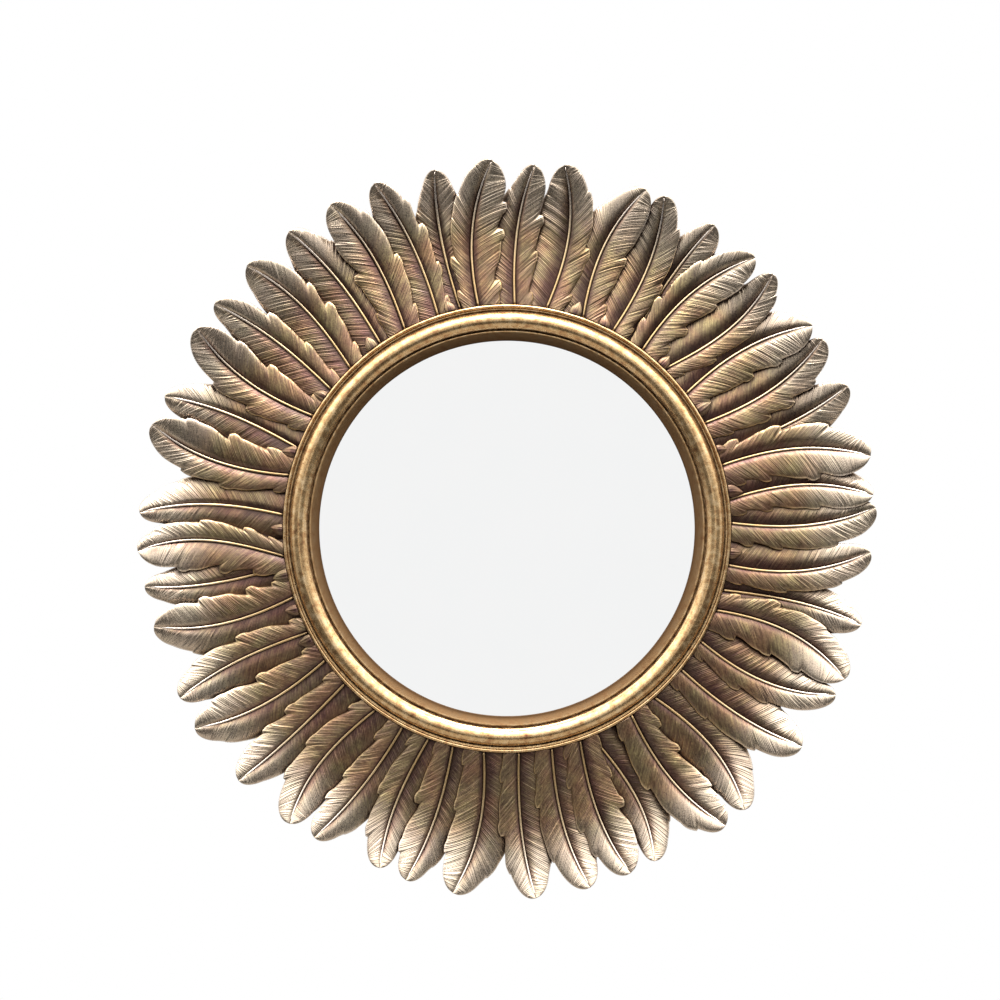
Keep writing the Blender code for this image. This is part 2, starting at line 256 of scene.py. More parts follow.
# Silver behind clear glass is almost colourless, with a trace of green from the glass and a haze
# too slight to read as dirt.
silvering, surface = new_material("silvered_float_glass")
place = add(silvering, "ShaderNodeTexCoord").outputs["Object"]
haze = add(silvering, "ShaderNodeTexNoise", {"Vector": place, "Scale": 1 / HAZE, "Detail": 2.0})
tint = add(
    silvering,
    "ShaderNodeValToRGB",
    {"Fac": haze.outputs["Fac"]},
    stops=((0.0, "f6f7f7"), (1.0, "f8f8f8")),
)
gloss = add(silvering, "ShaderNodeMapRange", {"Value": haze.outputs["Fac"], "To Max": 0.02})
surface.inputs["Metallic"].default_value = 1.0
links = silvering.node_tree.links
links.new(tint.outputs["Color"], surface.inputs["Base Color"])
links.new(gloss.outputs[0], surface.inputs["Roughness"])
dress("mirror_glass", silvering)

# Wreath of feathers
# One casting in filled resin: 46 feathers that overlap like tiles round a flat bed, each with a
# raised shaft, combed barbs and split vanes. It is bronzed dark, then rubbed with gold and silver
# wax, which stays on the shafts, the barbs and the edges and leaves the hollows brown. On top of
# that, shade is painted into the crevices.
RING_OUTER_RADIUS = 273.4 * MM
BED_BACK = 12.3 * MM
FEATHER_ROOT_HEIGHT = 25 * MM
FEATHER_LENGTH = 173.8 * MM
FEATHER_MIDDLE = 0.46
ROOT_WIDTH_SHARE = 0.72
BROADEST_AT = 0.58
TIP_FALL_POWER = 2.8
TIP_ROUNDNESS = 0.47
DISH_FALL = 20 * MM
DISH_RISE = 32 * MM
ROOT_DEPTH = 9.4 * MM
TIP_DEPTH = 4 * MM
FULL_VANE_WIDTH = 27 * MM
SHINGLE_SLOPE = 0.12
BACK_SLOPE = 0.03
LAYER_LIFT = {"B": -3 * MM, "F": 0, "T": 2.5 * MM}
BACK_LIFT_SHARE = 0.6
TUCKED_WIDTH = 10 * MM
TUCK_FADES_FROM = 0.6
TUCK_FADES_BY = 0.88
TUCKED_ROOT_EXTRA = 9 * MM
TUCKED_ROOT_RUN = 0.62
EDGE_THICKNESS = 1.5 * MM
BACK_CLEARANCE = 0.3 * MM
ROOT_END = 0.002
ROOT_FITS_RING = 0.25
HEADING_STEP = 0.01

# Relief that the solids leave out. Places along a feather are shares of its length from the root,
# and places across it are shares of the vane from the shaft. Where there are two values, -1 is the
# anticlockwise vane and 1 the clockwise one, or True is a vane that lies over its neighbour.
TIP_CURL = 3 * MM
CURL_FROM = 0.5
BARB_SPACING = 2.3 * MM
ROWS_PER_BARB = 3
BARB_RELIEF = 0.16 * MM
BARB_DEPTHS = (0.3, 0.6, 0.8, 1.0, 1.4, 1.9)
BARB_GROOVE = -1.2
BARB_RIDGE = 0.8
BARBS_RISE_OVER = (0.03, 0.22)
BARBS_LOST_AT_RIM = 0.35
BARBS_LOST_AT_TIP = 0.7
BARB_TIP_FROM = 0.93
BARB_SWEEP = 26 * MM
LEAST_SWEEP = 0.001
SWEEP_FADES_FROM = 0.7
FIRST_BARB_SWEEP = 0.95
CLUMP_RISE = 0.26 * MM
CLUMP_BARBS = (2, 7)
BARB_RISE = 0.2 * MM
FIRST_NOTCH = {True: (0.08, 0.22), False: (0.62, 0.85)}
LAST_NOTCH = 0.9
NOTCH_DEPTH = {True: (0.08, 0.2), False: (0.03, 0.09)}
NOTCH_RUN = (0.14, 0.24)
NOTCH_SPACING = (0.17, 0.4)
TIP_NOTCHES_FROM = 0.7
TIP_NOTCH_SHARE = 0.6
NOTCH_REACH = 4
SPLIT_DEPTH = 1.1 * MM
SPLIT_SHORTENING = 3
SPLIT_SPAN = (0.6, 0.98)
LOBE_SWELL = 0.5
LOBE_SWELL_RUN = 0.1
VANE_CREST = {-1: 2.3 * MM, 1: 3.1 * MM}
VANE_DROOP = {-1: 1.6 * MM, 1: 1.3 * MM}
CREST_SHIFT = {-1: 0.9, 1: 0.8}
CREST_ROUNDNESS = 0.7
PLUMP_SHARE = 0.7
RIM_FROM = 0.9
RIM_FALL = 0.5 * MM
SHAFT_GROOVE = {-1: 2.5 * MM, 1: 1.7 * MM}
GROOVE_FLOOR = 0.02
GROOVE_SPAN = {-1: 0.42, 1: 0.2}
GROOVE_FADES_OVER = (0.75, 0.96)
SHAFT_RISE = 0.1 * MM
SHAFT_SINKS_FROM = 0.9
SHAFT_END = 0.985
SHAFT_ROOT_RADIUS = 1.7 * MM
SHAFT_TIP_RADIUS = 1.35 * MM
SHAFT_SIDES = 8
SHAFT_RINGS = 44
VANE_COLUMNS = (0.0, 0.05, 0.1, 0.17, 0.26, 0.37, 0.49, 0.61, 0.73, 0.84, 0.92, 0.97, 1.0)
BACK_COLUMNS = (0.9, 0.45)

# What each vertex tells the material: its place along the feather and across the vane, the number
# of its barb, its comb, from 0 in a groove to 1 on a ridge and SHAFT_MARK on a shaft, and a tone
# that its whole feather shares.
MARKS = ("along", "across", "barb", "comb", "tone")
SHAFT_MARK = 2
SHAFT_STREAKS = 200

# Each feather is its shaft's angle at the ring, at its middle and at its tip, clockwise from the
# top in degrees, how much it is shorter than the full length, the half-widths of its anticlockwise
# and clockwise vanes in mm, and its layer: B lies under both neighbours, F under the one before it
# and over the one after, T over both.
FEATHERS = (
    (2.0, 1.8, 4.4, 4, 20, 28, "F"),
    (10.2, 12.0, 9.0, 0, 32, 28, "F"),
    (19.8, 18.8, 22.4, 2, 26, 32, "F"),
    (28.2, 28.5, 25.3, 0, 25, 26, "F"),
    (33.6, 33.1, 34.4, 0, 22, 29, "B"),
    (37.2, 37.7, 42.5, 1, 26, 32, "F"),
    (44.6, 48.0, 46.2, 0, 26, 23, "F"),
    (53.0, 52.7, 56.4, 2, 27, 35, "F"),
    (61.9, 62.5, 59.0, 0, 22, 29, "F"),
    (70.0, 69.8, 67.3, -2, 27, 27, "B"),
    (73.6, 74.2, 78.7, -3, 30, 37, "F"),
    (82.5, 81.4, 84.8, 1, 24, 29, "F"),
    (88.6, 89.5, 86.7, -1, 24, 30, "F"),
    (99.4, 98.6, 93.7, 5, 27, 26, "F"),
    (106.0, 104.3, 105.2, 1, 21, 27, "B"),
    (111.4, 110.0, 114.0, -2, 29, 37, "F"),
    (120.2, 121.0, 116.8, 0, 24, 24, "F"),
    (129.0, 129.0, 126.4, 2, 32, 29, "F"),
    (138.9, 136.8, 139.8, 0, 27, 28, "F"),
    (146.3, 147.0, 143.6, 0, 32, 31, "T"),
    (158.0, 154.5, 156.1, 5, 26, 22, "B"),
    (161.0, 162.4, 160.2, 3, 33, 28, "F"),
    (168.5, 169.4, 166.9, 0, 29, 28, "F"),
    (177.0, 177.4, 175.5, -3, 30, 26, "F"),
    (186.0, 185.1, 188.5, 0, 31, 35, "F"),
    (194.0, 193.8, 196.1, 3, 24, 30, "F"),
    (200.5, 202.0, 200.6, 7, 24, 26, "F"),
    (207.8, 209.0, 212.0, 5, 26, 27, "F"),
    (216.0, 218.5, 216.4, 2, 29, 29, "F"),
    (226.3, 226.0, 226.8, 0, 24, 29, "F"),
    (234.1, 233.9, 237.4, -3, 28, 34, "F"),
    (242.4, 243.8, 242.6, 0, 26, 27, "F"),
    (252.2, 251.3, 254.5, 2, 28, 35, "F"),
    (260.5, 259.4, 260.9, 1, 22, 24, "B"),
    (262.9, 267.5, 266.5, -2, 37, 24, "F"),
    (273.5, 274.7, 272.5, 0, 25, 26, "B"),
    (283.8, 282.9, 286.4, -2, 28, 37, "F"),
    (291.0, 292.4, 291.1, 1, 27, 24, "B"),
    (300.2, 299.4, 302.9, -1, 30, 33, "F"),
    (308.3, 309.1, 307.5, -1, 24, 24, "F"),
    (315.7, 317.4, 315.3, -2, 32, 28, "F"),
    (325.6, 325.9, 323.7, -1, 31, 24, "B"),
    (332.9, 333.9, 331.4, -1, 32, 28, "F"),
    (342.1, 341.7, 338.9, -2, 27, 23, "F"),
    (348.0, 347.2, 348.6, 2, 21, 28, "B"),
    (352.7, 353.0, 357.7, -1, 27, 37, "F"),
)


def marked_shape():
    """An empty shape whose vertices carry the marks."""
    shape = bmesh.new()
    for mark in MARKS:
        shape.verts.layers.float.new(mark)
    return shape


def shaft_angle(root, middle, tip, along):
    """The shaft's angle a share of the way from root to tip, on a smooth bow through all three."""
    from_root = (along - FEATHER_MIDDLE) * (along - 1) / FEATHER_MIDDLE
    from_middle = along * (along - 1) / (FEATHER_MIDDLE * (FEATHER_MIDDLE - 1))
    from_tip = along * (along - FEATHER_MIDDLE) / (1 - FEATHER_MIDDLE)
    return root * from_root + middle * from_middle + tip * from_tip


def vane_share(along):
    """How wide a vane is at its edge, as a share of its full width. The tip closes to a point."""
    widening = sin(pi / 2 * min(max(along, 0) / BROADEST_AT, 1))
    width = ROOT_WIDTH_SHARE + (1 - ROOT_WIDTH_SHARE) * widening
    past = min(max(along - BROADEST_AT, 0) / (1 - BROADEST_AT), 1)
    return width * (1 - past**TIP_FALL_POWER) ** TIP_ROUNDNESS


def tucked(along):
    """The extra width of a vane that runs on under its neighbour, none near the tip."""
    fade = (TUCK_FADES_BY - along) / (TUCK_FADES_BY - TUCK_FADES_FROM)
    extra = TUCKED_ROOT_EXTRA * min(max(1 - along / TUCKED_ROOT_RUN, 0), 1)
    return TUCKED_WIDTH * min(max(fade, 0), 1) + extra


def smooth(low, high, value):
    """An even rise from 0 at low to 1 at high."""
    share = min(max((value - low) / (high - low), 0), 1)
    return share * share * (3 - 2 * share)


def lay_feather(shape, number, root, middle, tip, short, left, right, layer):
    """Adds one feather to a mesh: two combed vanes with rounded edges, and the shaft between."""
    layer_before = FEATHERS[number - 2][-1]
    layer_after = FEATHERS[number % len(FEATHERS)][-1]
    draw = random.Random(number)
    length = FEATHER_LENGTH - short * MM
    lift = LAYER_LIFT[layer]
    marks = [shape.verts.layers.float[name] for name in MARKS]
    tone = draw.random()

    def centre(along):
        angle = radians(shaft_angle(root, middle, tip, along))
        radius = RING_OUTER_RADIUS + length * along
        return Vector((radius * sin(angle), radius * cos(angle)))

    def heading(along):
        return (centre(along + HEADING_STEP) - centre(along - HEADING_STEP)).normalized()

    def front_height(along):
        share = max(along, 0)
        curl = TIP_CURL * (max(share - CURL_FROM, 0) / (1 - CURL_FROM)) ** 2
        return FEATHER_ROOT_HEIGHT + lift - DISH_FALL * share + DISH_RISE * share**3 + curl

    def back_height(along):
        share = max(along, 0)
        depth = ROOT_DEPTH + (TIP_DEPTH - ROOT_DEPTH) * share
        return front_height(along) - lift - depth + lift * BACK_LIFT_SHARE

    def put(along, aside, height, values):
        """A vertex at a place along and aside of the shaft, and a height above the wall."""
        ahead = heading(along)
        spot = centre(along) + Vector((ahead.y, -ahead.x)) * aside
        near_ring = 1 - smooth(0.0, ROOT_FITS_RING, along)
        spot += spot.normalized() * (RING_OUTER_RADIUS + length * along - spot.length) * near_ring
        made = shape.verts.new((spot.x, -height, spot.y))
        for mark, value in zip(marks, values):
            made[mark] = value
        return made

    first_barb = ROOT_END - FIRST_BARB_SWEEP * BARB_SWEEP / length
    barbs = int((1 - first_barb) * length / BARB_SPACING)
    last_row = barbs * ROWS_PER_BARB
    for side, width in ((-1, left * MM), (1, right * MM)):
        if side > 0:
            over = layer != "B" and layer_after != "T"
        else:
            over = layer == "T" or layer_before == "B" and layer != "B"
        shingle = SHINGLE_SLOPE if over else -SHINGLE_SLOPE
        notches = []
        at = draw.uniform(*FIRST_NOTCH[over])
        while at < LAST_NOTCH:
            deep = draw.uniform(*NOTCH_DEPTH[over])
            if at > TIP_NOTCHES_FROM:
                deep *= TIP_NOTCH_SHARE
            notches.append((at, deep, draw.uniform(*NOTCH_RUN)))
            at += draw.uniform(*NOTCH_SPACING)
        clump_left = 0
        pillow = min(1, width / FULL_VANE_WIDTH)
        columns = []
        for row in range(last_row + 1):
            barb, phase = divmod(row, ROWS_PER_BARB)
            if phase == 0:
                if clump_left <= 0:
                    clump_left = draw.randint(*CLUMP_BARBS)
                    clump_rise = draw.uniform(-CLUMP_RISE, CLUMP_RISE)
                clump_left -= 1
                barb_rise = clump_rise + draw.uniform(-BARB_RISE, BARB_RISE)
                barb_depth = draw.choice(BARB_DEPTHS)
            groove = phase == 0
            at_shaft = first_barb + (1 - first_barb) * row / last_row
            sweep = BARB_SWEEP / length * (1 - smooth(SWEEP_FADES_FROM, 1.0, at_shaft))
            at_edge = min(at_shaft + sweep, 1.0)
            starts = max(ROOT_END - at_shaft, 0) / max(at_edge - at_shaft, LEAST_SWEEP)
            edge = width * vane_share(at_edge)
            if not over:
                edge += tucked(at_edge)
            whole = edge
            split = 0.0
            for notch, deep, recovers in notches:
                if at_edge >= notch:
                    gone = (at_edge - notch) / recovers
                    edge *= 1 - deep * (1 - smooth(0, 1, gone))
                    split = max(split, 1 - SPLIT_SHORTENING * gone)
                elif notch - at_edge < LOBE_SWELL_RUN:
                    ahead = (notch - at_edge) / LOBE_SWELL_RUN
                    edge *= 1 + LOBE_SWELL * deep * sin(pi * ahead)
            cut = whole - edge
            plump = pillow * min(1, whole / (PLUMP_SHARE * width))
            points = []
            for column in VANE_COLUMNS:
                share = starts + (1 - starts) * column
                along = at_shaft + (at_edge - at_shaft) * share
                aside = whole * share - cut * share**NOTCH_REACH
                height = front_height(along) + shingle * aside
                swell = 1 - (2 * share ** CREST_SHIFT[side] - 1) ** 2
                crest = VANE_CREST[side] * swell**CREST_ROUNDNESS
                height += plump * (crest - VANE_DROOP[side] * share**2)
                groove_here = SHAFT_GROOVE[side] * (1 - smooth(*GROOVE_FADES_OVER, along))
                height -= groove_here * (1 - smooth(GROOVE_FLOOR, GROOVE_SPAN[side], share))
                fade = smooth(*BARBS_RISE_OVER, share)
                fade *= 1 - BARBS_LOST_AT_RIM * smooth(RIM_FROM, 1.0, share)
                fade *= 1 - BARBS_LOST_AT_TIP * smooth(BARB_TIP_FROM, 1.0, at_edge)
                height += fade * barb_rise
                height += fade * (BARB_GROOVE if groove else BARB_RIDGE) * BARB_RELIEF * barb_depth
                height -= SPLIT_DEPTH * split * smooth(*SPLIT_SPAN, share)
                height -= RIM_FALL * smooth(RIM_FROM, 1.0, column)
                comb = 1 - min(barb_depth, 1) if groove else 1
                values = (along, side * share, barb + phase / ROWS_PER_BARB, comb, tone)
                points.append((along, side * aside, height, values))
            rim = points[-1]
            under = rim[2] - EDGE_THICKNESS
            back_base = back_height(at_edge)
            points.append((rim[0], rim[1], under, (*rim[3][:3], 0, tone)))
            for column in BACK_COLUMNS:
                share = starts + (1 - starts) * column
                along = at_shaft + (at_edge - at_shaft) * share
                aside = side * (whole * share - cut * share**NOTCH_REACH)
                height = min(back_base + BACK_SLOPE * aside, under - BACK_CLEARANCE)
                points.append((along, aside, height, (along, side * share, barb, 0, tone)))
            columns.append(points)
        # The back's middle line closes the vane under the shaft.
        for points in columns:
            at_shaft, aside = points[0][:2]
            height = min(back_height(at_shaft), points[0][2] - EDGE_THICKNESS)
            points.append((at_shaft, aside, height, (at_shaft, 0, 0, 0, tone)))
        grid = [[put(*point) for point in points] for points in columns]
        for near, far in zip(grid, grid[1:]):
            for column in range(len(near)):
                after = (column + 1) % len(near)
                corners = (near[column], near[after], far[after], far[column])
                shape.faces.new(corners if side > 0 else corners[::-1])
        shape.faces.new(grid[0][::-1] if side > 0 else grid[0])
        shape.faces.new(grid[-1] if side > 0 else grid[-1][::-1])

    rings = []
    for step in range(SHAFT_RINGS + 1):
        along = ROOT_END + (SHAFT_END - ROOT_END) * step / SHAFT_RINGS
        thick = SHAFT_ROOT_RADIUS + (SHAFT_TIP_RADIUS - SHAFT_ROOT_RADIUS) * along
        crown = front_height(along) + SHAFT_RISE - thick * smooth(SHAFT_SINKS_FROM, 1.0, along)
        ring = []
        for turn in range(SHAFT_SIDES):
            angle = 2 * pi * turn / SHAFT_SIDES
            values = (along, 0, along * SHAFT_STREAKS, SHAFT_MARK, tone)
            ring.append(put(along, thick * cos(angle), crown + thick * sin(angle), values))
        rings.append(ring)
    for near, far in zip(rings, rings[1:]):
        for turn in range(SHAFT_SIDES):
            after = (turn + 1) % SHAFT_SIDES
            shape.faces.new((near[turn], far[turn], far[after], near[after]))
    shape.faces.new(rings[0])
    shape.faces.new(rings[-1][::-1])


# Tufts of down at the ring, between the roots: the angle, the length past the ring and the
# half-width in mm
TUFTS = (
    (17.5, 17, 8),
    (25.5, 14, 7),
    (43.5, 16, 7),
    (58.5, 20, 8),
    (69.5, 13, 6),
    (80.4, 18, 8),
    (96.3, 15, 7),
    (240.4, 18, 8),
    (248.9, 16, 7),
    (258.0, 19, 8),
    (269.7, 15, 7),
    (289.7, 18, 8),
    (305.8, 16, 7),
    (323.3, 17, 8),
    (345.5, 15, 7),
)
TUFT_HEIGHT = 29 * MM
TUFT_FALL = 5 * MM
TUFT_CREST = 1.6 * MM
TUFT_THICKNESS = 2.5 * MM
TUFT_GAP = 0.4 * MM
TUFT_TIP_WIDTH = 0.4 * MM
TUFT_ROOT_SHARE = 0.85
TUFT_TAPER = (1.7, 0.8)
TUFT_LEAN = 0.3
TUFT_RIB_MM = 0.3
TUFT_BACK_SHARE = 0.9
TUFT_BACK_STEP = 3
TUFT_ROWS = 14
TUFT_COLUMNS = 9
FIRST_TUFT_DRAW = 1000

# A tuft wears the same surface as a short stretch of a feather near its root. These are the places
# along and across that stretch, the barbs that it has to either side, and its comb.
TUFT_ALONG = (0.1, 0.4)
TUFT_ACROSS = -0.96
TUFT_BARBS = 7
TUFT_COMB = 0.4


def lay_tuft(shape, number, angle, length, width):
    """Adds one tuft to a mesh: a short pointed leaf with ribbed down, closed at the back."""
    draw = random.Random(FIRST_TUFT_DRAW + number)
    marks = [shape.verts.layers.float[name] for name in MARKS]
    tone = draw.random()
    lean = draw.uniform(-TUFT_LEAN, TUFT_LEAN)
    out = Vector((sin(radians(angle)), cos(radians(angle))))
    right = Vector((out.y, -out.x))
    asides = [column / TUFT_COLUMNS for column in range(-TUFT_COLUMNS, TUFT_COLUMNS + 1)]
    rib_rises = [draw.uniform(-TUFT_RIB_MM, TUFT_RIB_MM) * MM for _ in asides]
    rings = []
    for row in range(TUFT_ROWS + 1):
        share = row / TUFT_ROWS
        belly = TUFT_ROOT_SHARE + (1 - TUFT_ROOT_SHARE) * sin(pi * share)
        taper = (1 - share ** TUFT_TAPER[0]) ** TUFT_TAPER[1]
        half = width * MM * belly * taper + TUFT_TIP_WIDTH
        reach = RING_OUTER_RADIUS + TUFT_GAP + length * MM * share
        middle = out * reach + right * (lean * length * MM * share**2)
        crown = TUFT_HEIGHT - TUFT_FALL * share**2
        front = [
            (aside, crown + TUFT_CREST * (1 - aside**2) + rise * (1 - aside**4))
            for aside, rise in zip(asides, rib_rises)
        ]
        back = [
            (aside * TUFT_BACK_SHARE, crown - TUFT_THICKNESS) for aside in asides[::-TUFT_BACK_STEP]
        ]
        ring = []
        for aside, height in front + back:
            spot = middle + right * (half * aside)
            made = shape.verts.new((spot.x, -height, spot.y))
            along = TUFT_ALONG[0] + (TUFT_ALONG[1] - TUFT_ALONG[0]) * share
            across = TUFT_ACROSS * max(abs(aside), share)
            values = (along, across, aside * TUFT_BARBS + share, TUFT_COMB, tone)
            for mark, value in zip(marks, values):
                made[mark] = value
            ring.append(made)
        rings.append(ring)
    for near, far in zip(rings, rings[1:]):
        for corner in range(len(near)):
            after = (corner + 1) % len(near)
            shape.faces.new((near[corner], near[after], far[after], far[corner]))
    shape.faces.new(rings[0][::-1])
    shape.faces.new(rings[-1])


# Bronzed resin rubbed with wax: brown to purple in the hollows, olive gold on the swell of each
# vane, and bright gold to silver where a cloth would catch. The silver toward the tips is partly a
# painted sheen, and painted shade darkens the crevices. It has the soft sheen of buffed wax.
CLOUD = 22 * MM
SPECK = 2.2 * MM
CAST_HUE = 34 * MM
CREVICE = 11 * MM
SPECK_RELIEF = 0.25 * MM
HAIR_RELIEF = 0.42 * MM
bronze, surface = new_material("bronzed_resin_gilt_wax_and_painted_shade")
along, across, barb, comb, tone = [
    add(bronze, "ShaderNodeAttribute", attribute_name=mark).outputs["Fac"] for mark in MARKS
]
place = add(bronze, "ShaderNodeTexCoord").outputs["Object"]
clouds = add(bronze, "ShaderNodeTexNoise", {"Vector": place, "Scale": 1 / CLOUD, "Detail": 4.0})
specks = add(bronze, "ShaderNodeTexNoise", {"Vector": place, "Scale": 1 / SPECK, "Detail": 5.0})

# Where the vane has swelled clear of the hollow beside the shaft, which is wider on its
# anticlockwise side
spread = add(bronze, "ShaderNodeMath", {0: across}, operation="ABSOLUTE").outputs[0]
hollow_to = add(
    bronze,
    "ShaderNodeMapRange",
    {"Value": across, "From Min": -0.02, "From Max": 0.02, "To Min": 0.55, "To Max": 0.26},
).outputs[0]
swell = add(
    bronze,
    "ShaderNodeMapRange",
    {"Value": spread, "From Min": 0.06, "From Max": hollow_to},
    interpolation_type="SMOOTHSTEP",
).outputs[0]
near_tip = add(
    bronze, "ShaderNodeMapRange", {"Value": along, "From Min": 0.85, "From Max": 0.99}
).outputs[0]
swell = add(bronze, "ShaderNodeMath", {0: swell, 1: near_tip}, operation="MAXIMUM").outputs[0]
rim = add(
    bronze,
    "ShaderNodeMapRange",
    {"Value": spread, "From Min": 0.93, "From Max": 1.0},
    interpolation_type="SMOOTHSTEP",
).outputs[0]
ridge = add(bronze, "ShaderNodeMath", {0: comb, 1: 1.0}, operation="MINIMUM").outputs[0]
shaft = add(bronze, "ShaderNodeMath", {0: comb, 1: 1.4}, operation="GREATER_THAN").outputs[0]

# Fine hairs that run along the barbs
combed_place = add(
    bronze,
    "ShaderNodeCombineXYZ",
    {
        0: barb,
        1: add(bronze, "ShaderNodeMath", {0: spread, 1: 2.2}, operation="MULTIPLY").outputs[0],
        2: add(bronze, "ShaderNodeMath", {0: tone, 1: 60.0}, operation="MULTIPLY").outputs[0],
    },
).outputs[0]
combed = add(
    bronze,
    "ShaderNodeTexNoise",
    {"Vector": combed_place, "Scale": 0.9, "Detail": 4.0, "Roughness": 0.75},
).outputs["Fac"]
hairs = add(
    bronze,
    "ShaderNodeMapRange",
    {"Value": combed, "From Min": 0.34, "From Max": 0.66, "To Min": -0.02, "To Max": 0.56},
).outputs[0]

# How much wax has stayed: it adds up from the hairs, the swell, the ridges, the uneven rubbing, the
# grain and the nearness of the tip.
wax = hairs
for source, weight in (
    (swell, 0.55),
    (ridge, 0.25),
    (clouds.outputs["Fac"], 0.9),
    (specks.outputs["Fac"], 0.5),
    (along, 0.4),
):
    wax = add(
        bronze, "ShaderNodeMath", {0: source, 1: weight, 2: wax}, operation="MULTIPLY_ADD"
    ).outputs[0]
wax = add(bronze, "ShaderNodeMapRange", {"Value": wax, "From Min": 0.7, "From Max": 2.5}).outputs[0]
body = add(
    bronze,
    "ShaderNodeValToRGB",
    {"Fac": wax},
    stops=((0.0, "382a2b"), (0.32, "59443f"), (0.62, "7f6c57"), (0.85, "a5936f"), (1.0, "cbbb95")),
).outputs["Color"]

# The cast of the wax drifts from olive to rose.
drift = add(
    bronze,
    "ShaderNodeTexNoise",
    {"Vector": place, "Scale": 1 / CAST_HUE, "Detail": 3.0},
    noise_dimensions="4D",
).outputs["Fac"]
drift = add(
    bronze, "ShaderNodeMapRange", {"Value": drift, "From Min": 0.4, "From Max": 0.62}
).outputs[0]
hue = add(
    bronze,
    "ShaderNodeMix",
    {0: drift, 6: linear("a8a98c"), 7: linear("c59a86")},
    data_type="RGBA",
).outputs[2]
body = add(
    bronze,
    "ShaderNodeMix",
    {0: 0.45, 6: body, 7: hue},
    data_type="RGBA",
    blend_type="OVERLAY",
).outputs[2]

# Silver wax toward the tips. Part of it is a painted sheen that stands in for the light the curled
# tips catch.
silver = add(
    bronze,
    "ShaderNodeMapRange",
    {"Value": along, "From Min": 0.45, "From Max": 0.85, "To Max": 0.72},
    interpolation_type="SMOOTHSTEP",
).outputs[0]
silver = add(bronze, "ShaderNodeMath", {0: silver, 1: swell}, operation="MULTIPLY").outputs[0]
body = add(
    bronze,
    "ShaderNodeMix",
    {0: silver, 6: body, 7: linear("c6b7a6")},
    data_type="RGBA",
).outputs[2]

# Gold leaf on the shafts and rims, paler toward the tips
rubbed_share = add(
    bronze,
    "ShaderNodeMapRange",
    {"Value": along, "From Max": 0.4, "To Min": 0.55, "To Max": 0.85},
).outputs[0]
bright = add(bronze, "ShaderNodeMath", {0: rim, 1: shaft}, operation="MAXIMUM").outputs[0]
bright = add(
    bronze, "ShaderNodeMath", {0: bright, 1: rubbed_share}, operation="MULTIPLY"
).outputs[0]
leaf = add(
    bronze,
    "ShaderNodeValToRGB",
    {"Fac": along},
    stops=((0.2, "dcba82"), (0.55, "e9cfa6"), (0.85, "f1e4d8")),
).outputs["Color"]
rubbed = add(
    bronze,
    "ShaderNodeMix",
    {0: bright, 6: body, 7: leaf},
    data_type="RGBA",
).outputs[2]

# Painted shade: ambient occlusion darkens the colour toward a dark brown in the crevices, under
# the overlapping feathers and beside the ring
open_sky = add(bronze, "ShaderNodeAmbientOcclusion", {"Distance": CREVICE}, samples=6).outputs["AO"]
crevice_shade = add(
    bronze,
    "ShaderNodeMapRange",
    {"Value": open_sky, "From Min": 0.35, "From Max": 0.92, "To Min": 1.0, "To Max": 0.0},
    interpolation_type="SMOOTHSTEP",
).outputs[0]
rubbed = add(
    bronze,
    "ShaderNodeMix",
    {0: crevice_shade, 6: rubbed, 7: linear("433029")},
    data_type="RGBA",
).outputs[2]

# Buffed smoother toward the tips
gloss = add(
    bronze,
    "ShaderNodeMapRange",
    {
        "Value": specks.outputs["Fac"],
        "From Min": 0.3,
        "From Max": 0.7,
        "To Min": 0.36,
        "To Max": 0.5,
    },
).outputs[0]
gloss = add(
    bronze,
    "ShaderNodeMath",
    {0: along, 1: -0.18, 2: gloss},
    operation="MULTIPLY_ADD",
).outputs[0]
grain = add(
    bronze,
    "ShaderNodeBump",
    {"Height": specks.outputs["Fac"], "Strength": 0.4, "Distance": SPECK_RELIEF},
).outputs[0]
grain = add(
    bronze,
    "ShaderNodeBump",
    {"Height": combed, "Strength": 0.5, "Distance": HAIR_RELIEF, "Normal": grain},
).outputs[0]
links = bronze.node_tree.links
links.new(rubbed, surface.inputs["Base Color"])
links.new(gloss, surface.inputs["Roughness"])
links.new(grain, surface.inputs["Normal"])
surface.inputs["Metallic"].default_value = 0.9
surface.inputs["Coat Weight"].default_value = 0.2
surface.inputs["Coat Roughness"].default_value = 0.22

# The casting's bed, a flat ring under the roots of the feathers, let down where the ring sits
BED_INNER_RADIUS = 239 * MM
BED_OUTER_RADIUS = 299.4 * MM
BED_FRONT = BED_BACK + 4.8 * MM
RING_SEAT = BED_FRONT - 0.8 * MM
RING_CLEARANCE = 0.3 * MM
BED_TURNS = 180
bed_outline = [
    (BED_INNER_RADIUS, BED_BACK),
    (BED_INNER_RADIUS, RING_SEAT),
    (RING_OUTER_RADIUS + RING_CLEARANCE, RING_SEAT),
    (RING_OUTER_RADIUS + RING_CLEARANCE, BED_FRONT),
    (BED_OUTER_RADIUS, BED_FRONT),
    (BED_OUTER_RADIUS, BED_BACK),
]
mesh = mesh_of(turned_shape(bed_outline, BED_TURNS), "wreath_bed", rounded=False)
add_piece("wreath_bed", mesh, bronze, "bronzed_resin", "feather_wreath")

FEATHERS_PER_PIECE = 10
for first in range(0, len(FEATHERS), FEATHERS_PER_PIECE):
    rows = FEATHERS[first : first + FEATHERS_PER_PIECE]
    shape = marked_shape()
    for number, row in enumerate(rows, start=first + 1):
        lay_feather(shape, number, *row)
    name = f"feathers_{first + 1:02d}_to_{first + len(rows):02d}"
    add_piece(name, mesh_of(shape, name), bronze, "bronzed_resin", "feather_wreath")

shape = marked_shape()
for number, row in enumerate(TUFTS):
    lay_tuft(shape, number, *row)
bmesh.ops.recalc_face_normals(shape, faces=shape.faces)
mesh = mesh_of(shape, "tufts_of_down")
add_piece("tufts_of_down", mesh, bronze, "bronzed_resin", "feather_wreath")

